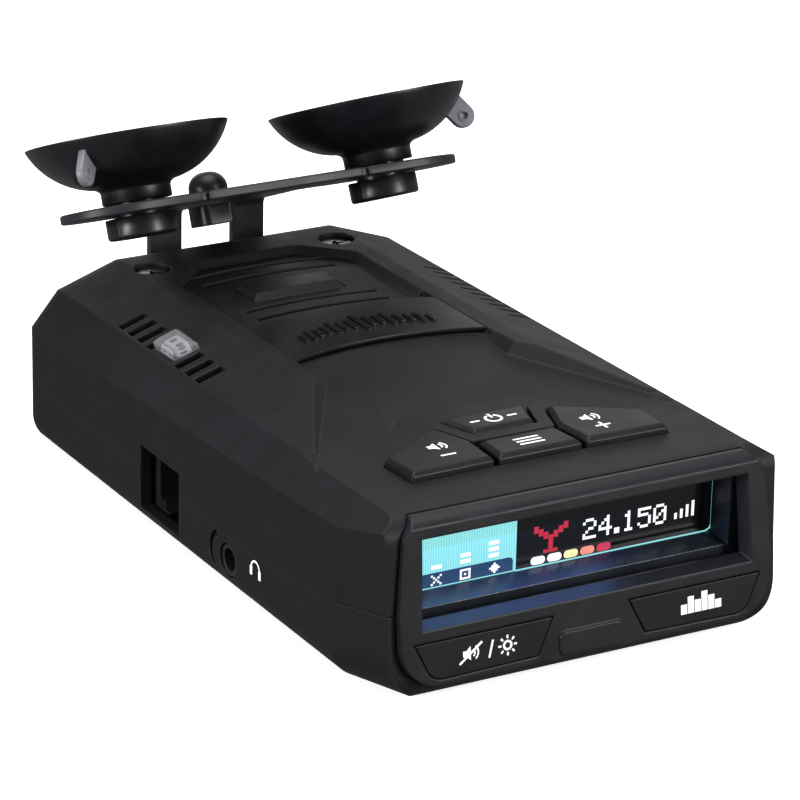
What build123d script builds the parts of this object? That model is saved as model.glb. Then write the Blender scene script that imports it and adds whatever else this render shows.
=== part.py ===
from build123d import *
from math import cos, radians, sin
import os

# Windscreen radar detector: a two-shell casing with a display end that faces the driver, a keypad,
# and a sheet-metal windscreen bracket with two suction cups.
# Millimetres. +Z up, +Y towards the road, origin in the middle of the flat underside.

# ---- driving dimensions ----
body_length = 122.6
body_width = 71.0
wall = 2.0
back_wall = 3.0
seam = 0.12
fit_gap = 0.2

front_y = -body_length / 2
back_y = body_length / 2
side_x = body_width / 2
end_x = 32.7
display_y = front_y + 1.1
lean_deg = 6.6
window_low_z = 11.7

# casing cross-section: heights at the driver's end and at the road end
lower_crease_z = (25.4, 18.8)
upper_crease_z = (28.4, 25.0)
rim_z = (31.7, 28.7)
upper_crease_x = 30.5
rim_x = 19.8
recess_x = 16.8
recess_depth = 1.2
deck_thickness = 2.2

# windscreen bracket
bracket_tilt = 23.0
bracket_z = 41.8
bracket_station = 104.3
lobe_x = 25.3
lobe_radius = 9.8
cup_x = 22.1
cup_radius = 16.5
cup_hole = 4.25
right_cup_lean = 2.0
sheet = 1.5
leg_x = 7.7
leg_width = 6.0
tongue_z = 18.5
slide_travel = 12.0


def station(distance):
    """Y of a point this far behind the lower edge of the display window."""
    return display_y + distance


def along(front_and_back, y):
    """Height at y of a crease that runs straight from the driver's end to the road end."""
    low, high = front_and_back
    return low + (high - low) * (y - front_y) / body_length


def sloped_plane(z_at_window, slope):
    """Plane that crosses the display window's station at this height and falls by slope towards the road."""
    return Plane(origin=(0, station(0), z_at_window), x_dir=(1, 0, 0), z_dir=(0, slope, 1))


def mirrored(points):
    """Closed outline from its right-hand points, which run from one end to the other."""
    return list(points) + [(-x, y) for x, y in reversed(points)]


crease_slope = (upper_crease_z[0] - upper_crease_z[1]) / body_length
rim_slope = (rim_z[0] - rim_z[1]) / body_length
floor_plane = sloped_plane(upper_crease_z[0] - 0.04, crease_slope)
rim_plane = sloped_plane(rim_z[0] - 0.03, rim_slope)
panel_plane = sloped_plane(25.6, -0.0569)
face_plane = Plane(
    origin=(0, station(0), window_low_z),
    x_dir=(1, 0, 0),
    z_dir=(0, -cos(radians(lean_deg)), sin(radians(lean_deg))),
)
slope_deg = 19.0
bezel_corner = 6.6


def deck_side_plane(side):
    """Plane on the sloping side of the deck: side is -1 for the left and 1 for the right."""
    return Plane(
        origin=(side * 28.0, station(81), along(upper_crease_z, station(81)) + 0.86),
        x_dir=(cos(radians(slope_deg)), 0, -side * sin(radians(slope_deg))),
        z_dir=(side * sin(radians(slope_deg)), 0, cos(radians(slope_deg))),
    )


# where the casing's cross-section changes: y, half width, radius along its foot
casing_sections = [
    (front_y - 4, end_x, 8.4),
    (station(1.6), end_x, 8.0),
    (station(13), side_x, 5.6),
    (back_y + 4, side_x, 3.0),
]


def section_loft(inset, flat_top):
    """Casing cross-section carried straight from the driver's end to the road end."""
    with BuildPart() as form:
        for y, half_width, foot_radius in casing_sections:
            cut_in = (side_x - half_width) / (side_x - upper_crease_x)
            high = along(upper_crease_z, y)
            low = along(lower_crease_z, y) * (1 - cut_in) + high * cut_in
            top = high - deck_thickness if flat_top else along(rim_z, y)
            shoulder = top if flat_top else high
            right = [
                (half_width - inset, inset),
                (half_width - inset, low - 0.4 * inset),
                (upper_crease_x - 0.4 * inset, shoulder),
                (rim_x, top + (0.01 if flat_top else 0)),
            ]
            with BuildSketch(Plane.XZ.offset(-y)) as section:
                Polygon(*mirrored(right), align=None)
                fillet(section.vertices().group_by(Axis.Y)[0], radius=max(foot_radius - inset, 1.2))
        loft(ruled=True)
    return form.part


def plan_prism(inset, back_inset):
    """Casing outline seen from above: straight sides that taper in at the driver's end."""
    right = [
        (end_x, station(-3.5)),
        (end_x, station(1.6)),
        (side_x, station(13)),
        (side_x, back_y + inset - back_inset),
    ]
    with BuildPart() as prism:
        with BuildSketch(Plane.XY.offset(-3)) as plan:
            Polygon(*mirrored(right), align=None)
            fillet(plan.vertices().filter_by(lambda v: abs(v.Y - station(13)) < 0.1), radius=14)
            fillet(plan.vertices().filter_by(lambda v: abs(v.Y - station(1.6)) < 0.1), radius=5)
            offset(amount=-inset)
        extrude(amount=45)
    return prism.part


def profile_prism(inset):
    """Casing outline seen from the side, which rounds the driver's end over and under."""
    with BuildPart() as prism:
        with BuildSketch(Plane.YZ) as profile:
            Polygon(
                (station(0.2) + inset, inset),
                (back_y + 6, inset),
                (back_y + 6, 33),
                (station(9) + inset, 33),
                (station(9) + inset, upper_crease_z[0] - 0.3 - inset),
                (station(2.8) + inset, upper_crease_z[0] - inset),
                align=None,
            )
            fillet(profile.vertices().filter_by(lambda v: v.X < station(1) + inset), radius=4.2)
            fillet(profile.vertices().filter_by(lambda v: abs(v.X - station(2.8) - inset) < 0.05), radius=3.5)
        extrude(amount=40, both=True)
    return prism.part


def case_form(inset, flat_top, back_inset, back_round):
    """Form of the casing drawn in by inset; the flat-topped one is the space inside it."""
    sections = section_loft(inset, flat_top)
    plan = plan_prism(inset, back_inset)
    profile = profile_prism(inset)
    with BuildPart() as form:
        add(sections)
        add(plan, mode=Mode.INTERSECT)
        add(profile, mode=Mode.INTERSECT)
        if back_round:
            fillet(form.faces().sort_by(Axis.Y)[-1].edges(), radius=back_round)
    return form.part


def parting_block(shift, upper):
    """Everything above, or below, the stepped parting line between the two shells."""
    line = [
        (station(-6), 14.8 + shift),
        (station(1), 14.4 + shift),
        (station(15), 12.5 + shift),
        (station(40), 10.0 + shift),
        (back_y + 6, 10.0 + shift),
    ]
    end_z = 45 if upper else -5
    with BuildPart() as block:
        with BuildSketch(Plane.YZ):
            with BuildLine():
                Polyline(*line, (back_y + 6, end_z), (station(-6), end_z), close=True)
            make_face()
        extrude(amount=45, both=True)
    return block.part


def bezel_outline(grow):
    """Front view of the bezel, drawn on the leaning display face."""
    right = [
        (31.4 + grow, -8.6 - grow),
        (31.5 + grow, 2.5),
        (30.4 + grow, 14.2),
        (28.2 + grow, 16.75 + grow),
    ]
    with BuildSketch(face_plane) as outline:
        with BuildLine():
            Polyline(*mirrored(right), close=True)
        make_face()
        fillet(outline.vertices().group_by(Axis.Y)[0], radius=bezel_corner + grow)
    return outline.sketch


def window_funnel():
    """Tapering space from in front of the display window back to the display."""
    with BuildPart() as funnel:
        for depth in (-4.0, 8.0):
            taper = (8.0 - depth) / 8.0
            half = 25.7 + 2.3 * taper
            low = 14.0 - 2.3 * taper
            high = 25.3
            with BuildSketch(Plane.XZ.offset(-station(depth))):
                with Locations((0, (low + high) / 2)):
                    Rectangle(2 * half, high - low)
        loft(ruled=True)
    return funnel.part


# key outlines on the keypad floor: x, distance behind the display window
volume_key = [(7.9, 15.1), (21.8, 14.7), (22.2, 22.4), (10.0, 30.4), (7.4, 22.7)]
menu_key = [(7.1, 15.1), (6.5, 22.1)]
power_key = [(5.2, 25.7), (7.3, 32.3)]
ridge_outer = (7.05, 22.95)
ridge_band = [(9.5, 30.8), (7.75, 32.2), (5.6, 25.3)]
front_key = [(9.2, -7.2), (26.6, -7.5), (29.2, -1.9), (6.6, -1.9)]
front_key_corner = 2.6
key_height = 1.45
vent_ys = [station(94.7 - 3.5 * n) for n in range(4)] + [station(74.3 - 3.6 * n) for n in range(3)]
louvre_ys = [station(95.4 - 3.0 * n) for n in range(10)]
rear_screw_spots = [(17.0, station(109.7)), (-17.0, station(109.7))]
front_screw_spots = [(27.5, station(21)), (-27.5, station(21))]
button_y = station(93.9)
window_x = -7.8
horn_x = 6.4
speaker_spot = (20.0, 22.0)
standoffs = [(25.0, 8.0), (-15.5, -6.0)]
socket_y = station(69.4)
audio_y = station(46.0)
audio_z = 6.0


def flipped(points):
    """The same outline on the other side, still running the same way round."""
    return [(-x, y) for x, y in reversed(points)]


def front_key_sketch(outline, depth, grow):
    """Front key outline with its outer lower corner rounded, this deep behind the display face."""
    with BuildSketch(face_plane.offset(-depth)) as sketch:
        Polygon(*outline, align=None)
        outer_corner = sketch.vertices().group_by(Axis.Y)[0]
        fillet(outer_corner, radius=front_key_corner)
        if grow:
            offset(amount=grow, kind=Kind.INTERSECTION)
    return sketch.sketch


key_outlines = {
    "volume_down": flipped(volume_key),
    "volume_up": volume_key,
    "menu": mirrored(menu_key),
    "power": mirrored(power_key),
}

outer_form = case_form(0, flat_top=False, back_inset=0, back_round=6)
inner_form = case_form(wall, flat_top=True, back_inset=back_wall, back_round=0)
front_opening = bezel_outline(0.12)
funnel = window_funnel()

# ---- upper case ----
with BuildPart() as upper_case:
    add(outer_form)
    add(parting_block(0, upper=True), mode=Mode.INTERSECT)
    add(inner_form, mode=Mode.SUBTRACT)
    # the low deck that carries the keypad
    with BuildSketch(floor_plane):
        with Locations((0, 13)):
            Rectangle(90, 36.1)
    extrude(amount=9, mode=Mode.SUBTRACT)
    # the sloping panel between keypad and badge, with its rim walls running out to the sides
    with BuildSketch(panel_plane):
        with BuildLine():
            Polyline((15.9, 60.4), (15.9, 52.0), (31.3, 26.4), (-31.3, 26.4), (-15.9, 52.0), (-15.9, 60.4))
            ThreePointArc((-15.9, 60.4), (0, 63.5), (15.9, 60.4))
        make_face()
    extrude(amount=4, taper=-42, mode=Mode.SUBTRACT)
    # the keypad's trapezoid recess, with a broad sloping wall behind the keys
    for height, half_low, half_high, depth in ((0, 19.0, 10.2, 39.0), (1.1, 21.2, 11.4, 45.4)):
        with BuildSketch(floor_plane.offset(height)):
            Polygon(*mirrored([(half_low, 29.5), (half_high, depth)]), align=None)
    loft(ruled=True, mode=Mode.SUBTRACT)
    # rear recess and badge pocket
    with BuildSketch(rim_plane.offset(-recess_depth)) as rear_recess:
        Polygon(*mirrored([(15.7, 70.0), (15.7, 101.8), (8.9, 108.8)]), align=None)
        fillet(rear_recess.vertices().group_by(Axis.Y)[-1], radius=3)
    extrude(amount=2.5, taper=-42, mode=Mode.SUBTRACT)
    with BuildSketch(rim_plane.offset(-1.0)):
        with Locations((0, 69)):
            Rectangle(2 * recess_x + 0.2, 22)
    extrude(amount=3, mode=Mode.SUBTRACT)
    # four shallow arched grooves in the recess floor
    for middle, sag in ((106.1, 1.2), (102.1, 1.2), (87.7, 1.2), (83.6, 1.2)):
        with BuildSketch(rim_plane.offset(-recess_depth - 0.8)):
            with BuildLine() as groove_line:
                ThreePointArc((-12.0, middle - sag), (0, middle), (12.0, middle - sag))
            trace(line_width=1.4)
        extrude(amount=2, mode=Mode.SUBTRACT)
    # raised ridge round the power key
    with BuildSketch(floor_plane.offset(-0.5)):
        Polygon(ridge_outer, *ridge_band, *flipped(ridge_band), *flipped([ridge_outer]), align=None)
    extrude(amount=1.5)
    # key openings
    for points in key_outlines.values():
        with BuildSketch(floor_plane.offset(-6)):
            Polygon(*points, align=None)
            offset(amount=fit_gap, kind=Kind.INTERSECTION)
        extrude(amount=9, mode=Mode.SUBTRACT)
    menu_gap = [(7.0, 14.92), (8.0, 14.92), (7.5, 22.2), (6.4, 22.2)]
    for points in (menu_gap, flipped(menu_gap)):
        with BuildSketch(floor_plane.offset(-6)):
            Polygon(*points, align=None)
        extrude(amount=9, mode=Mode.SUBTRACT)
    # release button opening
    with BuildSketch(Plane.XY.offset(18)):
        with Locations((0, button_y)):
            Rectangle(16.6 + 2 * fit_gap, 6.8 + 2 * fit_gap)
    extrude(amount=20, mode=Mode.SUBTRACT)
    # side vents, lens seat and sound louvres
    with BuildSketch(deck_side_plane(-1).offset(-7)):
        with Locations(*[(0.1, y - station(81)) for y in vent_ys]):
            Rectangle(4.9, 2.1)
        with Locations((0.7, -1.2)):
            Rectangle(5.0, 7.4)
    extrude(amount=12, mode=Mode.SUBTRACT)
    with BuildSketch(deck_side_plane(1).offset(-0.9)):
        with Locations(*[(-0.1, y - station(81)) for y in louvre_ys]):
            Rectangle(4.6, 1.1, rotation=8)
    extrude(amount=4, mode=Mode.SUBTRACT)
    # display end
    extrude(front_opening, amount=-7, mode=Mode.SUBTRACT)
    extrude(front_opening, amount=4, mode=Mode.SUBTRACT)
    # wells for the two rear screws
    with BuildSketch(Plane.XY.offset(26.6)):
        with Locations(*rear_screw_spots):
            Circle(3.1)
    extrude(amount=8, mode=Mode.SUBTRACT)
    with BuildSketch(Plane.XY.offset(15)):
        with Locations(*rear_screw_spots):
            Circle(1.5)
    extrude(amount=15, mode=Mode.SUBTRACT)
    with BuildSketch(Plane.XY.offset(20)):
        with Locations((20.6, station(110.6))):
            SlotOverall(2.0, 0.9)
    extrude(amount=12, mode=Mode.SUBTRACT)
    # front pillars that take the lower screws
    for spot in front_screw_spots:
        with BuildSketch(Plane.XY.offset(12.3)):
            with Locations(spot):
                Circle(3.2)
        extrude(amount=14.5)
    with BuildSketch(Plane.XY.offset(12)):
        with Locations(*front_screw_spots):
            Circle(1.35)
    extrude(amount=11, mode=Mode.SUBTRACT)
    # ring that holds the speaker
    with BuildSketch(Plane.XY.offset(20.8)):
        with Locations(speaker_spot):
            Circle(9.5)
            Circle(8.6, mode=Mode.SUBTRACT)
    extrude(amount=3.4)
    # slots for the bracket's tongues, laser window and power socket
    with BuildSketch(Plane.XZ.offset(-back_y - 2)):
        with Locations((leg_x, tongue_z), (-leg_x, tongue_z)):
            Rectangle(leg_width + 1.2, 2.7)
        with Locations((window_x, 9.0)):
            RectangleRounded(10.0, 8.0, 1.0)
    extrude(amount=8, mode=Mode.SUBTRACT)
    with BuildSketch(Plane.YZ.offset(-side_x - 2)):
        with Locations((socket_y, 8.4)):
            Rectangle(13.6, 10.8)
    extrude(amount=6, mode=Mode.SUBTRACT)
upper_case.part.label = "upper_case"

# ---- lower case ----
with BuildPart() as lower_case:
    add(outer_form)
    add(parting_block(-seam, upper=False), mode=Mode.INTERSECT)
    add(inner_form, mode=Mode.SUBTRACT)
    extrude(front_opening, amount=-7, mode=Mode.SUBTRACT)
    extrude(front_opening, amount=4, mode=Mode.SUBTRACT)
    # screw posts
    with BuildSketch(Plane.XY.offset(wall - 0.2)):
        with Locations(*rear_screw_spots):
            Circle(3.1)
            Circle(1.35, mode=Mode.SUBTRACT)
    extrude(amount=20.3)
    with BuildSketch(Plane.XY.offset(wall - 0.2)):
        with Locations(*front_screw_spots):
            Circle(3.2)
    extrude(amount=10.3)
    with BuildSketch(Plane.XY.offset(wall - 0.2)):
        with Locations(*standoffs):
            Circle(2.0)
    extrude(amount=12.3)
    with BuildSketch(Plane.XY.offset(-1)):
        with Locations(*front_screw_spots):
            Circle(2.7)
    extrude(amount=3.4, mode=Mode.SUBTRACT)
    with BuildSketch(Plane.XY):
        with Locations(*front_screw_spots):
            Circle(1.5)
    extrude(amount=14, mode=Mode.SUBTRACT)
    # back window, power socket, audio hole and the finger notch beside it
    with BuildSketch(Plane.XZ.offset(-back_y - 2)):
        with Locations((window_x, 9.0)):
            RectangleRounded(10.0, 8.0, 1.0)
    extrude(amount=8, mode=Mode.SUBTRACT)
    with BuildSketch(Plane.YZ.offset(-side_x - 2)):
        with Locations((socket_y, 8.4)):
            Rectangle(13.6, 10.8)
        with Locations((audio_y, audio_z)):
            Circle(2.75)
    extrude(amount=6, mode=Mode.SUBTRACT)
    with BuildSketch(Plane.YZ.offset(-side_x - 2)):
        with BuildLine():
            ThreePointArc((station(49.6), 10.0 - 0.8), (station(51.6), 6.6), (station(50.4), 3.4))
        trace(line_width=1.1)
    extrude(amount=2.7, mode=Mode.SUBTRACT)
lower_case.part.label = "lower_case"

# ---- front bezel ----
bezel_face = bezel_outline(0)
bezel_depth = 2.4
bezel_back = Location((0, bezel_depth * cos(radians(lean_deg)), -bezel_depth * sin(radians(lean_deg))))
bezel_hollow = bezel_outline(-1.5).moved(bezel_back)
with BuildPart() as front_bezel:
    extrude(bezel_face, amount=-5.4)
    with BuildSketch(Plane.YZ) as crown:
        with BuildLine():
            Polyline(
                (station(-4), -2),
                (station(-4), 10),
                (station((28.2 - window_low_z) * 0.1157), 28.2),
                (station(12), 27.85),
                (station(12), -2),
                close=True,
            )
        make_face()
        fillet(crown.vertices().sort_by(Axis.Y)[-1], radius=3.4)
    extrude(amount=40, both=True, mode=Mode.INTERSECT)
    extrude(bezel_hollow, amount=-6, mode=Mode.SUBTRACT)
    add(funnel, mode=Mode.SUBTRACT)
    for points in (front_key, flipped(front_key)):
        extrude(front_key_sketch(points, 0, fit_gap), amount=-4, mode=Mode.SUBTRACT)
    with BuildSketch(face_plane.offset(-0.3)):
        with Locations((0, -6.3)):
            RectangleRounded(10.8, 3.6, 1.0)
    extrude(amount=0.7)
front_bezel.part.label = "front_bezel"

# ---- badge plate ----
with BuildPart() as badge_plate:
    with BuildSketch(rim_plane.offset(-0.95)):
        with BuildLine():
            ThreePointArc((-recess_x, 60.1), (0, 63.4), (recess_x, 60.1))
            Line((recess_x, 60.1), (recess_x, 76.3))
            ThreePointArc((recess_x, 76.3), (0, 79.6), (-recess_x, 76.3))
            Line((-recess_x, 76.3), (-recess_x, 60.1))
        make_face()
    extrude(amount=0.95)
    lip = badge_plate.edges().filter_by(GeomType.CIRCLE).group_by(Axis.Y)[0].sort_by(Axis.Z)[-1]
    chamfer(lip, length=0.45)
badge_plate.part.label = "badge_plate"


def key_cap(outline, flange_centre, flange_size):
    """Keypad key: a bevelled cap that stands through the deck and a flange that holds it from below."""
    with BuildPart() as key:
        with BuildSketch(floor_plane.offset(-2.6)):
            Polygon(*outline, align=None)
        extrude(amount=2.6 + key_height - 0.6)
        with BuildSketch(floor_plane.offset(key_height - 0.6)):
            Polygon(*outline, align=None)
        extrude(amount=0.6, taper=50)
        with BuildSketch(floor_plane.offset(-3.5)):
            with Locations(flange_centre):
                Rectangle(*flange_size)
        extrude(amount=0.9)
    return key.part


volume_down_cap = key_cap(key_outlines["volume_down"], (-16.6, 19.0), (13.8, 10.4))
with BuildPart() as volume_down_button:
    add(volume_down_cap)
volume_down_button.part.label = "volume_down_button"

volume_up_cap = key_cap(key_outlines["volume_up"], (16.6, 19.0), (13.8, 10.4))
with BuildPart() as volume_up_button:
    add(volume_up_cap)
volume_up_button.part.label = "volume_up_button"

menu_cap = key_cap(key_outlines["menu"], (0, 17.8), (12.4, 7.6))
with BuildPart() as menu_button:
    add(menu_cap)
menu_button.part.label = "menu_button"

power_cap = key_cap(key_outlines["power"], (0, 30.2), (9.6, 7.4))
with BuildPart() as power_button:
    add(power_cap)
power_button.part.label = "power_button"


def front_key_cap(outline, side):
    """Front key: its cap is level with the bezel, with a flange and a stem towards its switch."""
    cap_face = front_key_sketch(outline, 2.5, 0)
    with BuildPart() as key:
        extrude(cap_face, amount=2.6)
        with BuildSketch(face_plane.offset(-3.6)):
            with Locations((side * 18.0, -4.5)):
                Rectangle(15.0, 4.6)
        extrude(amount=0.8)
        with BuildSketch(face_plane.offset(-3.0)):
            with Locations((side * 18.0, -4.7)):
                Rectangle(10.0, 4.0)
        extrude(amount=1.0)
        with BuildSketch(face_plane.offset(-4.9)):
            with Locations((side * 18.0, -4.7)):
                Circle(1.5)
        extrude(amount=2.0)
    return key.part


mute_cap = front_key_cap(flipped(front_key), -1)
with BuildPart() as mute_button:
    add(mute_cap)
mute_button.part.label = "mute_button"

city_cap = front_key_cap(front_key, 1)
with BuildPart() as city_button:
    add(city_cap)
city_button.part.label = "city_button"

# ---- release button: cap, stem and a foot that reaches under the bracket's tongues ----
with BuildPart() as release_button:
    with BuildSketch(Plane.XY.offset(22.2)):
        with Locations((0, button_y)):
            Rectangle(16.6, 6.8)
    extrude(amount=6.0)
    with BuildSketch(Plane.XY.offset(28.2)):
        with Locations((0, button_y)):
            Rectangle(16.6, 6.8)
    extrude(amount=1.0, taper=48)
    with BuildSketch(Plane.XY.offset(20.8)):
        with Locations((0, button_y)):
            Rectangle(19.0, 6.8)
    extrude(amount=1.4)
    with BuildSketch(Plane.XY.offset(15.9)):
        with Locations((0, button_y)):
            Rectangle(6.0, 4.0)
    extrude(amount=5.5)
    with BuildSketch(Plane.XY.offset(15.9)):
        with Locations((0, button_y + 5.4)):
            Rectangle(20.0, 14.8)
    extrude(amount=1.4)
    with BuildSketch(Plane.XY.offset(17.2)):
        with Locations((leg_x, button_y + 11.5), (-leg_x, button_y + 11.5)):
            Rectangle(1.6, 1.6)
    extrude(amount=1.7)
release_button.part.label = "release_button"

# ---- release spring ----
with BuildPart() as release_spring:
    with BuildLine() as coil:
        Helix(pitch=0.75, height=1.9, radius=2.2, center=(0, button_y, 13.75))
    with BuildSketch(Plane(origin=coil.line @ 0, z_dir=coil.line % 0)):
        Circle(0.17)
    sweep()
release_spring.part.label = "release_spring"

# ---- display ----
with BuildPart() as display_surround:
    with BuildSketch(Plane.XZ.offset(-station(8.0))):
        with Locations((0, 17.9)):
            Rectangle(57.2, 15.0)
    extrude(amount=3.4)
    add(funnel, mode=Mode.SUBTRACT)
display_surround.part.label = "display_surround"

with BuildPart() as display_panel:
    with BuildSketch(Plane.XZ.offset(-station(9.4))):
        with Locations((0, 18.9)):
            Rectangle(54.4, 12.2)
    extrude(amount=1.3)
display_panel.part.label = "display_panel"

with BuildPart() as display_board:
    with BuildSketch(Plane.XZ.offset(-station(11.2))):
        with Locations((0, 14.1)):
            Rectangle(58.0, 21.8)
    extrude(amount=1.4)
display_board.part.label = "display_board"

with BuildPart() as front_switches:
    for side in (-1, 1):
        with BuildSketch(Plane.XZ.offset(-station(9.75))):
            with Locations((side * 18.0, 7.0)):
                Rectangle(6.0, 6.0)
        extrude(amount=3.2)
        with BuildSketch(Plane.XZ.offset(-station(6.6))):
            with Locations((side * 18.0, 7.0)):
                Circle(1.6)
        extrude(amount=1.0)
front_switches.part.label = "front_switches"

# ---- boards and what stands on them ----
with BuildPart() as main_board:
    with BuildSketch(Plane.XY.offset(14.4)):
        with Locations((0, station(45))):
            Rectangle(60.0, 62.0)
        with Locations(*front_screw_spots):
            Circle(3.6, mode=Mode.SUBTRACT)
    extrude(amount=1.6)
main_board.part.label = "main_board"

# x, distance behind the window, width, length, height
chips = [
    (-8, 30, 9, 9, 1.2),
    (10, 34, 7, 5, 1.0),
    (-14, 52, 5, 6, 1.6),
    (4, 56, 11, 8, 1.4),
    (18, 52, 4, 4, 2.4),
]
with BuildPart() as main_board_chips:
    for x, distance, width, length, height in chips:
        with BuildSketch(Plane.XY.offset(16.05)):
            with Locations((x, station(distance))):
                Rectangle(width, length)
        extrude(amount=height)
main_board_chips.part.label = "main_board_chips"

with BuildPart() as key_board:
    with BuildSketch(Plane.XY.offset(20.0)):
        with Locations((0, station(24.6))):
            Rectangle(44.0, 23.0)
    extrude(amount=1.2)
    with BuildSketch(Plane.XY.offset(16.05)):
        with Locations((0, station(24.6))):
            with GridLocations(39.0, 18.0, 2, 2):
                Circle(1.5)
    extrude(amount=4.0)
key_board.part.label = "key_board"

switch_spots = [(-15.0, 19.0), (15.0, 19.0), (0.0, 17.6), (0.0, 29.6)]
with BuildPart() as key_switches:
    for x, distance in switch_spots:
        with BuildSketch(Plane.XY.offset(21.25)):
            with Locations((x, station(distance))):
                Rectangle(4.5, 4.5)
        extrude(amount=1.2)
        with BuildSketch(Plane.XY.offset(22.4)):
            with Locations((x, station(distance))):
                Circle(1.2)
        extrude(amount=0.35)
key_switches.part.label = "key_switches"

ribbon_line = [(station(11.5), 6.0), (station(12.6), 6.0), (station(12.6), 13.9), (station(20), 13.9)]
with BuildPart() as display_ribbon:
    with BuildSketch(Plane.YZ.offset(-8)):
        with BuildLine():
            FilletPolyline(*ribbon_line, radius=0.5)
        trace(line_width=0.3)
    extrude(amount=16)
display_ribbon.part.label = "display_ribbon"

# ---- sockets on the left side ----
with BuildPart() as power_socket:
    with BuildSketch(Plane.YZ.offset(-side_x + wall + 0.6)):
        with Locations((socket_y, 8.55)):
            Rectangle(13.2, 11.1)
    extrude(amount=15.0)
    with BuildSketch(Plane.YZ.offset(-side_x + wall)):
        with Locations((socket_y, 8.6)):
            Rectangle(10.2, 7.4)
        with Locations((socket_y, 4.4)):
            Rectangle(6.4, 1.8)
        with Locations((socket_y, 3.2)):
            Rectangle(3.6, 1.2)
    extrude(amount=13.0, mode=Mode.SUBTRACT)
power_socket.part.label = "power_socket"

with BuildPart() as socket_contacts:
    for n in range(6):
        with BuildSketch(Plane.XZ.offset(-socket_y + 3.4 - 1.27 * n)):
            with BuildLine():
                Polyline((-side_x + 14.7, 11.7), (-side_x + 8.0, 11.7), (-side_x + 14.2, 9.4))
            trace(line_width=0.4)
        extrude(amount=0.45)
socket_contacts.part.label = "socket_contacts"

with BuildPart() as audio_jack:
    with BuildSketch(Plane.YZ.offset(-side_x + 0.3)):
        with Locations((audio_y, audio_z)):
            Circle(2.55)
    extrude(amount=3.0)
    with BuildSketch(Plane.YZ.offset(-side_x + wall + 0.8)):
        with Locations((audio_y, audio_z + 0.3)):
            Rectangle(6.4, 6.0)
    extrude(amount=11.5)
    with BuildSketch(Plane.YZ.offset(-side_x)):
        with Locations((audio_y, audio_z)):
            Circle(1.8)
    extrude(amount=13.0, mode=Mode.SUBTRACT)
audio_jack.part.label = "audio_jack"

# ---- radar and laser receivers ----
with BuildPart() as rf_shield:
    with BuildSketch(Plane.XY.offset(10.0)):
        with Locations((3.0, 2.0)):
            Rectangle(30.0, 26.0)
    extrude(amount=4.1)
    with BuildSketch(Plane.XY.offset(10.5)):
        with Locations((3.0, 2.0)):
            Rectangle(29.0, 25.0)
    extrude(amount=4.1, mode=Mode.SUBTRACT)
rf_shield.part.label = "rf_shield"

with BuildPart() as horn_throat:
    for y, width, height in ((34.0, 6.8, 3.6), (56.1, 11.2, 7.2)):
        with BuildSketch(Plane.XZ.offset(-y)):
            with Locations((horn_x, 7.6)):
                Rectangle(width, height)
    loft(ruled=True)
    with BuildSketch(Plane.XZ.offset(-34.0)):
        with Locations((horn_x, 7.6)):
            Rectangle(6.8, 3.6)
    extrude(amount=16.0)

with BuildPart() as antenna_horn:
    for y, width, height in ((34.0, 8.4, 5.2), (56.0, 12.8, 8.8)):
        with BuildSketch(Plane.XZ.offset(-y)):
            with Locations((horn_x, 7.6)):
                Rectangle(width, height)
    loft(ruled=True)
    with BuildSketch(Plane.XZ.offset(-34.0)):
        with Locations((horn_x, 7.6)):
            Rectangle(8.4, 5.2)
    extrude(amount=17.0)
    add(horn_throat.part, mode=Mode.SUBTRACT)
antenna_horn.part.label = "antenna_horn"

with BuildPart() as road_laser_window:
    with BuildSketch(Plane.XZ.offset(-back_y + 0.4)):
        with Locations((window_x, 9.0)):
            RectangleRounded(9.6, 7.6, 0.8)
    extrude(amount=3.0)
    with BuildSketch(Plane.XZ.offset(-back_y + back_wall + 0.2)):
        with Locations((window_x, 9.0)):
            Rectangle(10.8, 8.8)
    extrude(amount=0.9)
road_laser_window.part.label = "road_laser_window"

with BuildPart() as laser_receiver:
    with BuildSketch(Plane.XZ.offset(-back_y + 8.0)):
        with Locations((window_x, 7.1)):
            Rectangle(11.4, 9.0)
    extrude(amount=1.2)
    with BuildSketch(Plane.XZ.offset(-back_y + 5.6)):
        with Locations((window_x, 9.0)):
            Circle(2.4)
    extrude(amount=2.5)
laser_receiver.part.label = "laser_receiver"

with BuildPart() as laser_sensor_lens:
    with BuildSketch(deck_side_plane(-1).offset(-4.9)):
        with Locations((0.7, -1.2)):
            Rectangle(4.6, 7.0)
    extrude(amount=6.4)
    top_edges = laser_sensor_lens.faces().sort_by(Axis.Z)[-1].edges()
    chamfer(top_edges, length=0.6)
    with BuildSketch(deck_side_plane(-1).offset(-5.7)):
        with Locations((0.8, -1.2)):
            Rectangle(4.8, 8.2)
    extrude(amount=0.9)
laser_sensor_lens.part.label = "laser_sensor_lens"

# ---- speaker ----
speaker_x, speaker_y = speaker_spot
with BuildPart() as speaker_frame:
    with BuildSketch(Plane.XY.offset(17.2)):
        with Locations(speaker_spot):
            Circle(9.4)
    extrude(amount=3.3)
    with BuildSketch(Plane.XY.offset(18.0)):
        with Locations(speaker_spot):
            Circle(8.5)
    extrude(amount=3.0, mode=Mode.SUBTRACT)
speaker_frame.part.label = "speaker_frame"

with BuildPart() as speaker_cone:
    with BuildSketch(Plane.XZ.offset(-speaker_y)):
        with BuildLine():
            Polyline(
                (speaker_x, 18.2),
                (speaker_x + 2.6, 18.2),
                (speaker_x + 8.3, 20.1),
                (speaker_x + 8.3, 20.4),
                (speaker_x + 2.6, 18.6),
                (speaker_x, 19.3),
                close=True,
            )
        make_face()
    revolve(axis=Axis((speaker_x, speaker_y, 0), (0, 0, 1)))
speaker_cone.part.label = "speaker_cone"

with BuildPart() as speaker_magnet:
    with BuildSketch(Plane.XY.offset(12.8)):
        with Locations(speaker_spot):
            Circle(5.2)
    extrude(amount=4.35)
speaker_magnet.part.label = "speaker_magnet"

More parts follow.
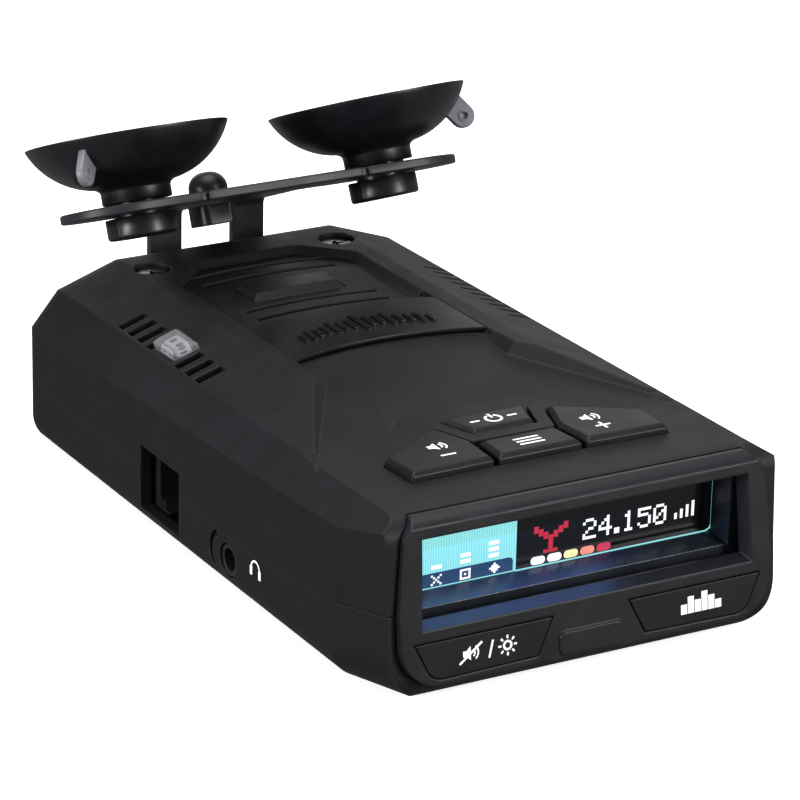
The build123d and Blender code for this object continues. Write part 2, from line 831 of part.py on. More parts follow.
# ---- guide under the roof that the bracket's tongues slide in ----
with BuildPart() as bracket_guide:
    with BuildSketch(Plane.XY.offset(12.4)):
        with Locations((0, 42.5)):
            Rectangle(24.0, 29.0)
    extrude(amount=1.2)
    with BuildSketch(Plane.XY.offset(13.5)):
        with Locations((0, 53.2)):
            Rectangle(24.0, 7.6)
    extrude(amount=8.2)
    with BuildSketch(Plane.XY.offset(13.5)):
        with Locations((0, 30.2)):
            Rectangle(10.0, 1.0)
    extrude(amount=2.0)
    with BuildSketch(Plane.XZ.offset(-60)):
        with Locations((leg_x, tongue_z), (-leg_x, tongue_z)):
            Rectangle(leg_width + 0.8, sheet + 0.7)
    extrude(amount=20, mode=Mode.SUBTRACT)
bracket_guide.part.label = "bracket_guide"

# ---- screws ----
with BuildPart() as top_screws:
    with BuildSketch(Plane.XY.offset(26.7)):
        with Locations(*rear_screw_spots):
            Circle(2.6)
    extrude(amount=1.5)
    with BuildSketch(Plane.XY.offset(11.0)):
        with Locations(*rear_screw_spots):
            Circle(1.3)
    extrude(amount=15.8)
    with BuildSketch(Plane.XY.offset(27.4)):
        with Locations(*rear_screw_spots):
            Rectangle(2.6, 0.6)
            Rectangle(0.6, 2.6)
    extrude(amount=1.0, mode=Mode.SUBTRACT)
top_screws.part.label = "top_screws"

with BuildPart() as bottom_screws:
    with BuildSketch(Plane.XY.offset(0.8)):
        with Locations(*front_screw_spots):
            Circle(2.4)
    extrude(amount=1.5)
    with BuildSketch(Plane.XY.offset(2.2)):
        with Locations(*front_screw_spots):
            Circle(1.25)
    extrude(amount=16.0)
    with BuildSketch(Plane.XY.offset(0.7)):
        with Locations(*front_screw_spots):
            Rectangle(2.6, 0.6)
            Rectangle(0.6, 2.6)
    extrude(amount=0.9, mode=Mode.SUBTRACT)
bottom_screws.part.label = "bottom_screws"

# ---- bracket ----
bracket_plane = Plane(
    origin=(0, station(bracket_station), bracket_z),
    x_dir=(1, 0, 0),
    z_dir=(0, sin(radians(bracket_tilt)), cos(radians(bracket_tilt))),
)
plate_edge = [(lobe_x, -lobe_radius), (lobe_x, lobe_radius), (16.5, lobe_radius), (13.5, 8.2)]
plate_slope = sin(radians(bracket_tilt)) / cos(radians(bracket_tilt))
bend_y = back_y + 2.9
bend_z = bracket_z - (bend_y - station(bracket_station)) * plate_slope
leg_line = [
    (station(bracket_station) + 8.0, bracket_z - 8.0 * plate_slope),
    (bend_y, bend_z),
    (bend_y, tongue_z),
    (button_y + 7.3, tongue_z),
]
with BuildPart() as mount_bracket:
    with BuildSketch(bracket_plane.offset(-sheet / 2)) as blank:
        with Locations((lobe_x, 0), (-lobe_x, 0)):
            Circle(lobe_radius)
        Polygon(*mirrored(plate_edge), align=None)
        with Locations((0, 12.0)):
            Rectangle(21.4, 8.0)
        with Locations((0, 17.0)):
            Rectangle(3.4, 9.0)
        with Locations((cup_x, 0), (-cup_x, 0)):
            Circle(cup_hole, mode=Mode.SUBTRACT)
        with Locations((14.5, -lobe_radius), (-14.5, -lobe_radius)):
            Rectangle(1.2, 1.8, mode=Mode.SUBTRACT)
    extrude(amount=sheet)
    for side in (-1, 1):
        with BuildSketch(Plane.YZ.offset(side * leg_x - leg_width / 2)):
            with BuildLine():
                FilletPolyline(*leg_line, radius=2.2)
            trace(line_width=sheet)
        extrude(amount=leg_width)
    with BuildSketch(Plane.XY.offset(tongue_z - 2)):
        with Locations((leg_x, button_y + 10.0), (-leg_x, button_y + 10.0)):
            Rectangle(2.4, 7.6)
    extrude(amount=4, mode=Mode.SUBTRACT)
mount_bracket.part.label = "mount_bracket"

with BuildPart() as bracket_bumper:
    with BuildSketch(bracket_plane.offset(-3.9)):
        with Locations((0, 20.0)):
            RectangleRounded(6.6, 6.6, 1.6)
    extrude(amount=5.4)
    with BuildSketch(bracket_plane.offset(1.5)):
        with Locations((0, 20.0)):
            Circle(3.3)
    extrude(amount=3.5)
    fillet(bracket_bumper.faces().sort_by(Axis.Z)[-1].edges(), radius=2.8)
    with BuildSketch(bracket_plane.offset(-sheet / 2 - 0.03)):
        with Locations((0, 16.0)):
            Rectangle(3.5, 11.2)
    extrude(amount=sheet + 0.06, mode=Mode.SUBTRACT)
bracket_bumper.part.label = "bracket_bumper"


def suction_cup(side, tab_angle):
    """Moulded cup: barrel, grooved neck held in the bracket's hole, bowl and its pull tab."""
    seat = bracket_plane.location * Pos(side * cup_x, 0, 0)
    if side > 0:
        seat = seat * Rot(0, -right_cup_lean, 0)
    with BuildPart() as cup:
        with BuildSketch(Plane.XZ):
            with BuildLine():
                Polyline(
                    (0, 6.6),
                    (0, -4.6),
                    (5.2, -4.6),
                    (5.7, -4.1),
                    (5.7, -1.15),
                    (4.15, -1.15),
                    (4.15, 1.15),
                    (5.7, 1.15),
                    (5.7, 3.4),
                    (6.6, 3.9),
                )
                ThreePointArc((6.6, 3.9), (12.65, 6.6), (cup_radius, 11.9))
                Line((cup_radius, 11.9), (0, 11.9))
                Line((0, 11.9), (0, 6.6))
            make_face()
        revolve(axis=Axis.Z)
        with BuildSketch(Plane.XZ.rotated((0, 0, tab_angle)).offset(-0.65)):
            with Locations((14.6, 8.0)):
                SlotOverall(8.4, 4.2, rotation=-55)
        extrude(amount=1.3)
        with BuildSketch(Plane.XZ):
            with BuildLine():
                ThreePointArc((cup_radius - 0.5, 12.0), (12.0, 7.5), (5.0, 5.6))
                Polyline((5.0, 5.6), (0, 5.4), (0, 12.0), (cup_radius - 0.5, 12.0))
            make_face()
        revolve(axis=Axis.Z, mode=Mode.SUBTRACT)
    return cup.part.moved(seat)


left_cup = suction_cup(-1, 218)
with BuildPart() as suction_cup_left:
    add(left_cup)
suction_cup_left.part.label = "suction_cup_left"

right_cup = suction_cup(1, -12)
with BuildPart() as suction_cup_right:
    add(right_cup)
suction_cup_right.part.label = "suction_cup_right"

# ---- export ----
os.makedirs("parts", exist_ok=True)
export_step(upper_case.part, "parts/upper_case.step")
export_step(lower_case.part, "parts/lower_case.step")
export_step(front_bezel.part, "parts/front_bezel.step")
export_step(badge_plate.part, "parts/badge_plate.step")
export_step(volume_down_button.part, "parts/volume_down_button.step")
export_step(volume_up_button.part, "parts/volume_up_button.step")
export_step(menu_button.part, "parts/menu_button.step")
export_step(power_button.part, "parts/power_button.step")
export_step(mute_button.part, "parts/mute_button.step")
export_step(city_button.part, "parts/city_button.step")
export_step(release_button.part, "parts/release_button.step")
export_step(release_spring.part, "parts/release_spring.step")
export_step(display_surround.part, "parts/display_surround.step")
export_step(display_panel.part, "parts/display_panel.step")
export_step(display_board.part, "parts/display_board.step")
export_step(front_switches.part, "parts/front_switches.step")
export_step(main_board.part, "parts/main_board.step")
export_step(main_board_chips.part, "parts/main_board_chips.step")
export_step(key_board.part, "parts/key_board.step")
export_step(key_switches.part, "parts/key_switches.step")
export_step(display_ribbon.part, "parts/display_ribbon.step")
export_step(power_socket.part, "parts/power_socket.step")
export_step(socket_contacts.part, "parts/socket_contacts.step")
export_step(audio_jack.part, "parts/audio_jack.step")
export_step(rf_shield.part, "parts/rf_shield.step")
export_step(antenna_horn.part, "parts/antenna_horn.step")
export_step(road_laser_window.part, "parts/road_laser_window.step")
export_step(laser_receiver.part, "parts/laser_receiver.step")
export_step(laser_sensor_lens.part, "parts/laser_sensor_lens.step")
export_step(speaker_frame.part, "parts/speaker_frame.step")
export_step(speaker_cone.part, "parts/speaker_cone.step")
export_step(speaker_magnet.part, "parts/speaker_magnet.step")
export_step(bracket_guide.part, "parts/bracket_guide.step")
export_step(top_screws.part, "parts/top_screws.step")
export_step(bottom_screws.part, "parts/bottom_screws.step")
export_step(mount_bracket.part, "parts/mount_bracket.step")
export_step(bracket_bumper.part, "parts/bracket_bumper.step")
export_step(suction_cup_left.part, "parts/suction_cup_left.step")
export_step(suction_cup_right.part, "parts/suction_cup_right.step")
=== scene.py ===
"""Looks of the windscreen radar detector: materials, moulded detail, legends, display, light and camera."""

import math

import bmesh
import bpy
from mathutils import Matrix, Vector


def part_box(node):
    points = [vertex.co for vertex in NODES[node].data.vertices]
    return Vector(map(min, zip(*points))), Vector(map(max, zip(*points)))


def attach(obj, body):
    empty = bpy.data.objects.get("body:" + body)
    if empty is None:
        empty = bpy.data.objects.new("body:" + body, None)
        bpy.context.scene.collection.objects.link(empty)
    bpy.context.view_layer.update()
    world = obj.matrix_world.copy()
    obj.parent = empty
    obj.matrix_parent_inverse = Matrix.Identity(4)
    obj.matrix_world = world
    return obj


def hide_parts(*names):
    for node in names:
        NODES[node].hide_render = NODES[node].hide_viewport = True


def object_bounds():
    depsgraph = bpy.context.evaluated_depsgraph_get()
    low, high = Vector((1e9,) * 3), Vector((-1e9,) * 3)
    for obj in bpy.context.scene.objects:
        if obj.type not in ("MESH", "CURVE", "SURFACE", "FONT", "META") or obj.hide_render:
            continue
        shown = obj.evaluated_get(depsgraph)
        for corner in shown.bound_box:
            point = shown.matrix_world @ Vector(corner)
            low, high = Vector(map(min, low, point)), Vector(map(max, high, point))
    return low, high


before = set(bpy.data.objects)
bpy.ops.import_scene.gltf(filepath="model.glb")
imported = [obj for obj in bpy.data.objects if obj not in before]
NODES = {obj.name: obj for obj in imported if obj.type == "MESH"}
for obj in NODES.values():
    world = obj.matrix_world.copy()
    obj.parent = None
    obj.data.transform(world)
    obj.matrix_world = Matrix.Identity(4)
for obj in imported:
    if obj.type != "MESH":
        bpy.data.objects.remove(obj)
CAD_BOX = [list(corner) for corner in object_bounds()]
MM = 0.001

# ---- the CAD's driving places, in millimetres ----
DISPLAY_Y = -60.2
CASE_LENGTH = 122.6
WINDOW_LOW_Z = 11.7
LEAN = math.radians(6.6)
SIDE_X = 35.5
BRACKET_TILT = math.radians(23.0)
BRACKET_ORIGIN = Vector((0.0, DISPLAY_Y + 104.3, 41.8))
CUP_X = 22.1
CUP_RADIUS = 16.5
RIGHT_CUP_LEAN = math.radians(2.0)
SCREEN_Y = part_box("display_panel")[0].y / MM


class Flat:
    """A flat working plane on the object. Sketch points on it are in millimetres."""

    def __init__(self, origin, x_dir, normal):
        self.o = Vector(origin)
        self.x = Vector(x_dir).normalized()
        self.n = Vector(normal).normalized()
        self.y = self.n.cross(self.x)

    def at(self, u, v, w=0.0):
        return (self.o + self.x * u + self.y * v + self.n * w) * MM


def sloped(height, slope):
    """Deck plane at this height over the display's lower edge, falling towards the road."""
    return Flat((0, DISPLAY_Y, height), (1, 0, 0), (0, slope, 1))


KEYPAD = sloped(28.36, (28.4 - 25.0) / CASE_LENGTH)
RIM = sloped(31.67, (31.7 - 28.7) / CASE_LENGTH)
FACE = Flat((0, DISPLAY_Y, WINDOW_LOW_Z), (1, 0, 0), (0, -math.cos(LEAN), math.sin(LEAN)))
SCREEN = Flat((0, SCREEN_Y, 0), (1, 0, 0), (0, -1, 0))
LEFT_SIDE = Flat((-SIDE_X, 0, 0), (0, -1, 0), (-1, 0, 0))


# ---- materials ----
MIX_FACTOR, MIX_A, MIX_B, MIX_RESULT = 0, 6, 7, 2  # a colour Mix node's sockets
# the edge colour is a painted highlight along the rounded edges
EDGE_FACING = (0.86, 0.985)  # bevelled against plain normal: full edge colour, none
WAVE_PERIOD = 0.314  # of the wave texture at scale 1, in metres
UNLIT_SHARE = 0.2  # of a display segment's colour when it gives no light
SEGMENT_DIM, BLOTCH_DIM = 0.72, 0.9  # darkest share of a segment's colour: striped, blotched
ACRYLIC_IOR, WAVINESS = 1.49, 0.02


def new_material(name):
    """Empty material, its node tree and its shader node."""
    mat = bpy.data.materials.new(name)
    mat.use_nodes = True
    tree = mat.node_tree
    return mat, tree, tree.nodes["Principled BSDF"]


def noise_on_object(tree, size_mm, detail=2.0):
    """Noise whose blobs are about size_mm across on the object."""
    place = tree.nodes.new("ShaderNodeTexCoord")
    mapping = tree.nodes.new("ShaderNodeMapping")
    mapping.inputs["Scale"].default_value = [1 / (size_mm * MM)] * 3
    noise = tree.nodes.new("ShaderNodeTexNoise")
    noise.inputs["Scale"].default_value = 1.0
    noise.inputs["Detail"].default_value = detail
    tree.links.new(place.outputs["Object"], mapping.inputs["Vector"])
    tree.links.new(mapping.outputs["Vector"], noise.inputs["Vector"])
    return noise.outputs["Fac"]


def spread(tree, value, low, high, source=(0.3, 0.7)):
    """The value's source range stretched to run from low to high."""
    node = tree.nodes.new("ShaderNodeMapRange")
    node.inputs["From Min"].default_value, node.inputs["From Max"].default_value = source
    node.inputs["To Min"].default_value, node.inputs["To Max"].default_value = low, high
    tree.links.new(value, node.inputs["Value"])
    return node.outputs["Result"]


def mixed(tree, factor, colour_a, colour_b):
    """Colour between two fixed ones, by a factor from another node."""
    blend = tree.nodes.new("ShaderNodeMix")
    blend.data_type = "RGBA"
    blend.inputs[MIX_A].default_value = (*colour_a, 1)
    blend.inputs[MIX_B].default_value = (*colour_b, 1)
    tree.links.new(factor, blend.inputs[MIX_FACTOR])
    return blend.outputs[MIX_RESULT]


def painted_edge_highlight(tree, bevel, tint, edge_highlight_colour):
    """The tint, going over to a lighter edge colour, a painted highlight, where the bevel turns the surface's
    normal.
    """
    geometry = tree.nodes.new("ShaderNodeNewGeometry")
    facing = tree.nodes.new("ShaderNodeVectorMath")
    facing.operation = "DOT_PRODUCT"
    tree.links.new(geometry.outputs["Normal"], facing.inputs[0])
    tree.links.new(bevel.outputs["Normal"], facing.inputs[1])
    edge_highlight = spread(tree, facing.outputs["Value"], 1, 0, EDGE_FACING)
    blend = tree.nodes.new("ShaderNodeMix")
    blend.data_type = "RGBA"
    blend.inputs[MIX_B].default_value = (*edge_highlight_colour, 1)
    tree.links.new(tint, blend.inputs[MIX_A])
    tree.links.new(edge_highlight, blend.inputs[MIX_FACTOR])
    return blend.outputs[MIX_RESULT]


def surface(name, colour, rough, grain_mm=0.25, grain_depth=0.004, edge_mm=0.0, metal=0.0,
            variation=0.15, specular=0.4, edge_highlight_colour=None, mottle_mm=6.0):
    """Moulded or painted surface: fine grain, slow colour and gloss variation, softened edges, and a painted
    highlight along the edges where an edge colour is given.

    The grain, its depth, the softened edge and the mottling are in millimetres.
    """
    mat, tree, shader = new_material(name)
    shader.inputs["Metallic"].default_value = metal
    shader.inputs["Specular IOR Level"].default_value = specular
    mottle = noise_on_object(tree, mottle_mm, 3.0)
    dark = [c * (1 - variation) for c in colour]
    light = [min(1, c * (1 + variation)) for c in colour]
    tint = mixed(tree, spread(tree, mottle, 0, 1), dark, light)
    bump = tree.nodes.new("ShaderNodeBump")
    bump.inputs["Strength"].default_value = 1.0
    bump.inputs["Distance"].default_value = grain_depth * MM
    tree.links.new(noise_on_object(tree, grain_mm), bump.inputs["Height"])
    if edge_mm:
        bevel = tree.nodes.new("ShaderNodeBevel")
        bevel.samples = 6
        bevel.inputs["Radius"].default_value = edge_mm * MM
        tree.links.new(bevel.outputs["Normal"], bump.inputs["Normal"])
        # lighter edge colour: a painted highlight along the rounded edges
        if edge_highlight_colour:
            tint = painted_edge_highlight(tree, bevel, tint, edge_highlight_colour)
    tree.links.new(tint, shader.inputs["Base Color"])
    tree.links.new(spread(tree, mottle, *rough), shader.inputs["Roughness"])
    tree.links.new(bump.outputs["Normal"], shader.inputs["Normal"])
    return mat


def glowing(name, colour, strength, stripe_mm=0.0):
    """Lit display segment, with the fine vertical lines of its pixels where stripe_mm is given."""
    mat, tree, shader = new_material(name)
    shader.inputs["Base Color"].default_value = (*[c * UNLIT_SHARE for c in colour], 1)
    shader.inputs["Roughness"].default_value = 0.35
    shader.inputs["Emission Strength"].default_value = strength
    if stripe_mm:
        place = tree.nodes.new("ShaderNodeTexCoord")
        wave = tree.nodes.new("ShaderNodeTexWave")
        wave.inputs["Scale"].default_value = WAVE_PERIOD / (stripe_mm * MM)
        tree.links.new(place.outputs["Object"], wave.inputs["Vector"])
        tint = mixed(tree, wave.outputs["Fac"], [c * SEGMENT_DIM for c in colour], colour)
    else:
        blotch = noise_on_object(tree, 1.2, 1.0)
        tint = mixed(tree, spread(tree, blotch, 0, 1), [c * BLOTCH_DIM for c in colour], colour)
    tree.links.new(tint, shader.inputs["Emission Color"])
    return mat


def light_up(mat, strength):
    """White light of its own, on top of what the surface reflects."""
    shader = mat.node_tree.nodes["Principled BSDF"]
    shader.inputs["Emission Color"].default_value = (1, 1, 1, 1)
    shader.inputs["Emission Strength"].default_value = strength


# the lighter edge colours below are painted highlights along the edges of the case, bezel, keys, badge and
# bracket
CASE = surface("case_plastic", (0.0072, 0.0070, 0.0092), (0.50, 0.60), 0.22, 0.006, edge_mm=0.5,
               edge_highlight_colour=(0.020, 0.020, 0.024), specular=0.22)
BEZEL = surface("bezel_plastic", (0.0110, 0.0110, 0.0140), (0.34, 0.44), 0.25, 0.003, edge_mm=0.45,
                edge_highlight_colour=(0.022, 0.022, 0.027), specular=0.25)
KEYS = surface("key_plastic", (0.0070, 0.0070, 0.0090), (0.38, 0.48), 0.2, 0.004, edge_mm=0.25,
               edge_highlight_colour=(0.020, 0.020, 0.024), specular=0.22)
BADGE = surface("badge_plastic", (0.0075, 0.0075, 0.0095), (0.34, 0.46), 0.3, 0.003, edge_mm=0.3,
                edge_highlight_colour=(0.020, 0.020, 0.024), specular=0.25)
EMBLEM = surface("emblem_gloss", (0.006, 0.006, 0.007), (0.18, 0.26), 0.4, 0.001, edge_mm=0.15)
SOCKET = surface("socket_plastic", (0.010, 0.010, 0.011), (0.35, 0.45), 0.3, 0.003, edge_mm=0.15)
CUP = surface("cup_rubber", (0.0055, 0.0055, 0.0075), (0.30, 0.38), 0.5, 0.003, mottle_mm=3.0,
              variation=0.25, specular=0.45)
TAB = surface("tab_rubber", (0.17, 0.17, 0.195), (0.35, 0.45), 0.4, 0.004, edge_mm=0.2)
BRACKET = surface("bracket_paint", (0.018, 0.018, 0.022), (0.40, 0.50), 0.35, 0.006, edge_mm=0.3,
                  edge_highlight_colour=(0.045, 0.045, 0.050), specular=0.35)
BUMPER = surface("bumper_rubber", (0.0055, 0.0055, 0.0070), (0.32, 0.42), 0.4, 0.006, edge_mm=0.3,
                 specular=0.28)
STEEL = surface("screw_steel", (0.20, 0.20, 0.21), (0.22, 0.34), 0.3, 0.004, edge_mm=0.12, metal=1.0)
SHIELD = surface("tinned_steel", (0.55, 0.56, 0.57), (0.28, 0.4), 0.6, 0.004, edge_mm=0.15, metal=1.0)
GOLD = surface("contact_gold", (0.72, 0.52, 0.2), (0.2, 0.3), 0.3, 0.002, edge_mm=0.05, metal=1.0)
BOARD = surface("board_mask", (0.01, 0.06, 0.03), (0.3, 0.42), 0.8, 0.006, edge_mm=0.15)
CHIP = surface("chip_epoxy", (0.016, 0.016, 0.017), (0.5, 0.6), 0.2, 0.006, edge_mm=0.12)
RIBBON = surface("ribbon_film", (0.42, 0.24, 0.06), (0.25, 0.35), 0.8, 0.002, edge_mm=0.05)
PAPER = surface("cone_paper", (0.02, 0.02, 0.02), (0.7, 0.8), 0.3, 0.02, edge_mm=0.1)
INK = surface("legend_ink_painted_glow", (0.78, 0.78, 0.80), (0.42, 0.52), 0.15, 0.003, variation=0.04, mottle_mm=1.0)
# the printed legends get a painted white glow of their own, though no lamp lights them
light_up(INK, 0.45)
CELL_GREY = surface("sensor_cell", (0.42, 0.43, 0.46), (0.3, 0.4), 0.3, 0.002, edge_mm=0.15)
# painted shadow: near-black for the floors of the deck's grooves, where shade falls
GROOVE_SHADOW = surface("groove_painted_shadow", (0.0015, 0.0015, 0.0018), (0.75, 0.85), 0.2, 0.004, specular=0.1)
SCREEN_BLACK = surface("screen_black", (0.004, 0.004, 0.006), (0.08, 0.12), 2.0, 0.0005, specular=0.5)
FUNNEL = surface("funnel_satin", (0.016, 0.018, 0.026), (0.26, 0.34), 0.3, 0.002, edge_mm=0.2, specular=0.5)
CYAN = glowing("screen_cyan", (0.28, 0.78, 0.80), 1.0, stripe_mm=0.42)
NAVY = glowing("screen_navy", (0.010, 0.045, 0.13), 1.0)
WHITE = glowing("screen_white", (0.92, 0.95, 0.98), 1.15)
YELLOW = glowing("screen_yellow", (0.95, 0.86, 0.42), 1.0)
SALMON = glowing("screen_salmon", (0.86, 0.28, 0.20), 1.0)
CRIMSON = glowing("screen_crimson", (0.55, 0.03, 0.09), 1.0)
RED = glowing("screen_red", (0.52, 0.02, 0.05), 1.0)


def clear_plastic(name, colour, rough, clarity):
    """Clear or tinted window plastic, slightly wavy."""
    mat, tree, shader = new_material(name)
    shader.inputs["Base Color"].default_value = (*colour, 1)
    shader.inputs["Transmission Weight"].default_value = clarity
    shader.inputs["IOR"].default_value = ACRYLIC_IOR
    bump = tree.nodes.new("ShaderNodeBump")
    bump.inputs["Distance"].default_value = WAVINESS * MM
    tree.links.new(noise_on_object(tree, 1.6, 2.0), bump.inputs["Height"])
    tree.links.new(bump.outputs["Normal"], shader.inputs["Normal"])
    tree.links.new(spread(tree, noise_on_object(tree, 0.8), *rough), shader.inputs["Roughness"])
    return mat


LENS = clear_plastic("lens_clear", (0.90, 0.90, 0.93), (0.0, 0.03), 0.86)
ROAD_WINDOW = clear_plastic("window_red", (0.10, 0.004, 0.008), (0.03, 0.08), 1.0)


def paint(node, mat):
    """Put a material on a CAD node that stays visible as it is."""
    mesh = NODES[node].data
    mesh.materials.clear()
    mesh.materials.append(mat)


# ---- mesh helpers ----
MERGE_DISTANCE = 2e-6  # metres
FLAT_ANGLE, EDGE_ANGLE = math.radians(0.6), math.radians(32.0)  # below it one face, above it an edge


def mesh_object(name, body, mat, build, smooth=35.0):
    """New piece from a bmesh builder, riding on a body."""
    bm = bmesh.new()
    build(bm)
    bmesh.ops.recalc_face_normals(bm, faces=bm.faces)
    mesh = bpy.data.meshes.new(name)
    bm.to_mesh(mesh)
    bm.free()
    mesh.materials.append(mat)
    piece = bpy.data.objects.new(name, mesh)
    bpy.context.scene.collection.objects.link(piece)
    if smooth:
        mesh.shade_smooth()
        mesh.set_sharp_from_angle(angle=math.radians(smooth))
    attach(piece, body)
    return piece


def refined(node, body, mat, bevel_mm):
    """The CAD node's own shape with small rounded edges, standing for the node."""
    mesh = NODES[node].data.copy()
    mesh.name = node + "_skin"
    bm = bmesh.new()
    bm.from_mesh(mesh)
    bmesh.ops.remove_doubles(bm, verts=bm.verts, dist=MERGE_DISTANCE)
    bmesh.ops.dissolve_limit(bm, angle_limit=FLAT_ANGLE, verts=bm.verts, edges=bm.edges)
    bm.to_mesh(mesh)
    bm.free()
    mesh.materials.clear()
    mesh.materials.append(mat)
    piece = bpy.data.objects.new(node + "_skin", mesh)
    bpy.context.scene.collection.objects.link(piece)
    mesh.shade_smooth()
    mesh.set_sharp_from_angle(angle=EDGE_ANGLE)
    soft = piece.modifiers.new("edges", "BEVEL")
    soft.width = bevel_mm * MM
    soft.segments = 2
    soft.limit_method = "ANGLE"
    soft.angle_limit = EDGE_ANGLE
    soft.harden_normals = True
    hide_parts(node)
    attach(piece, body)
    return piece


def prism(bm, flat, outline, low, high):
    """Straight prism on a working plane, from low to high above it."""
    bottom = [bm.verts.new(flat.at(u, v, low)) for u, v in outline]
    top = [bm.verts.new(flat.at(u, v, high)) for u, v in outline]
    bm.faces.new(bottom[::-1])
    bm.faces.new(top)
    count = len(outline)
    for i in range(count):
        j = (i + 1) % count
        bm.faces.new((bottom[i], bottom[j], top[j], top[i]))


def prints(name, body, flat, mat, outlines, low, high):
    """Flat marks printed or raised on a working plane."""
    def build(bm):
        for outline in outlines:
            prism(bm, flat, outline, low, high)
    piece = mesh_object(name, body, mat, build, smooth=0)
    return piece


def box_mark(u, v, width, height):
    """Upright rectangle about a middle."""
    return [(u - width / 2, v - height / 2), (u + width / 2, v - height / 2),
            (u + width / 2, v + height / 2), (u - width / 2, v + height / 2)]


def arc_band(u, v, radius, width, start, end, steps=18):
    """Part of a ring, angles in degrees anticlockwise."""
    angles = [math.radians(start + (end - start) * i / steps) for i in range(steps + 1)]
    outer = [(u + (radius + width / 2) * math.cos(a), v + (radius + width / 2) * math.sin(a)) for a in angles]
    inner = [(u + (radius - width / 2) * math.cos(a), v + (radius - width / 2) * math.sin(a)) for a in angles]
    return outer + inner[::-1]


def round_box(u, v, width, height, radius, steps=4):
    """Rectangle with rounded corners."""
    points = []
    for cx, cy, start in ((1, -1, 270), (1, 1, 0), (-1, 1, 90), (-1, -1, 180)):
        for i in range(steps + 1):
            a = math.radians(start + 90 * i / steps)
            points.append((u + cx * (width / 2 - radius) + radius * math.cos(a),
                           v + cy * (height / 2 - radius) + radius * math.sin(a)))
    return points


def disc_mark(u, v, radius, steps=24):
    return [(u + radius * math.cos(math.tau * i / steps), v + radius * math.sin(math.tau * i / steps))
            for i in range(steps)]


def bar(u1, v1, u2, v2, width):
    """Straight stroke between two points."""
    direction = Vector((u2 - u1, v2 - v1)).normalized() * (width / 2)
    side = Vector((-direction.y, direction.x))
    return [(u1 - side.x, v1 - side.y), (u2 - side.x, v2 - side.y),
            (u2 + side.x, v2 + side.y), (u1 + side.x, v1 + side.y)]


# ---- casing and carried-over parts ----
for node, mat, bevel, slot in (
    ("badge_plate", BADGE, 0.15, "badge"), ("power_socket", SOCKET, 0.1, "inner_plastic"),
    ("audio_jack", SOCKET, 0.12, "jack"), ("top_screws", STEEL, 0.1, "spring"),
    ("bottom_screws", STEEL, 0.1, "spring"),
):
    refined(node, "housing", mat, bevel)
for node, body in (
    ("volume_down_button", "volume_down"), ("volume_up_button", "volume_up"), ("menu_button", "menu"),
    ("power_button", "power"), ("mute_button", "mute"), ("city_button", "city"),
    ("release_button", "release"),
):
    refined(node, body, KEYS, 0.22)
refined("mount_bracket", "mount", BRACKET, 0.28)
refined("bracket_bumper", "mount", BUMPER, 0.3)
for node, mat in (
    ("upper_case", CASE), ("lower_case", CASE), ("front_bezel", BEZEL),
    ("display_surround", FUNNEL), ("display_panel", SCREEN_BLACK), ("display_board", BOARD),
    ("front_switches", CHIP), ("main_board", BOARD), ("main_board_chips", CHIP), ("key_board", BOARD),
    ("key_switches", CHIP), ("display_ribbon", RIBBON), ("socket_contacts", GOLD), ("rf_shield", SHIELD),
    ("antenna_horn", SHIELD), ("road_laser_window", ROAD_WINDOW), ("laser_receiver", BOARD),
    ("laser_sensor_lens", LENS), ("speaker_frame", SOCKET), ("speaker_cone", PAPER),
    ("speaker_magnet", SHIELD),
    ("bracket_guide", SOCKET), ("release_spring", STEEL),
):
    paint(node, mat)


# ---- suction cups ----
CUP_STEPS = 160
SEAM_STEPS, SEAM_HEIGHT, BARREL_BAND = {10, 90}, 0.06, (5.4, 6.3)
WAVE_HEIGHT, WAVE_START = 0.05, 12.0
TAB_HALF_WIDTH, TAB_HALF_THICKNESS, TAB_CORNER = 2.05, 0.62, 0.2
TAB_LEAN = math.radians(-55)
TAB_DIMPLE = ((1.05, 0.0), (0.95, 0.12), (0.8, 0.12), (0.68, 0.0), (0.62, -0.3), (0.4, -0.42))  # radius, rise


class Cup:
    """Working axis of one suction cup: r across it, w along it, angle round it from +X towards the road."""

    def __init__(self, side):
        tilt = Matrix.Rotation(-BRACKET_TILT, 3, "X")
        lean = Matrix.Rotation(-RIGHT_CUP_LEAN if side > 0 else 0.0, 3, "Y")
        self.turn = tilt @ lean
        self.o = BRACKET_ORIGIN + Vector((side * CUP_X, 0, 0))

    def at(self, r, w, angle):
        a = math.radians(angle)
        return (self.o + self.turn @ Vector((r * math.cos(a), r * math.sin(a), w))) * MM


def arc_points(a, b, c, steps):
    """Points on the circle through three profile points."""
    (ax, ay), (bx, by), (cx, cy) = a, b, c
    d = 2 * (ax * (by - cy) + bx * (cy - ay) + cx * (ay - by))
    ux = ((ax**2 + ay**2) * (by - cy) + (bx**2 + by**2) * (cy - ay) + (cx**2 + cy**2) * (ay - by)) / d
    uy = ((ax**2 + ay**2) * (cx - bx) + (bx**2 + by**2) * (ax - cx) + (cx**2 + cy**2) * (bx - ax)) / d
    start, end = math.atan2(ay - uy, ax - ux), math.atan2(cy - uy, cx - ux)
    middle = math.atan2(by - uy, bx - ux)
    while middle < start:
        middle += math.tau
    while end < start:
        end += math.tau
    if middle > end:
        end -= math.tau
    radius = math.hypot(ax - ux, ay - uy)
    return [(ux + radius * math.cos(start + (end - start) * i / steps),
             uy + radius * math.sin(start + (end - start) * i / steps)) for i in range(steps + 1)]


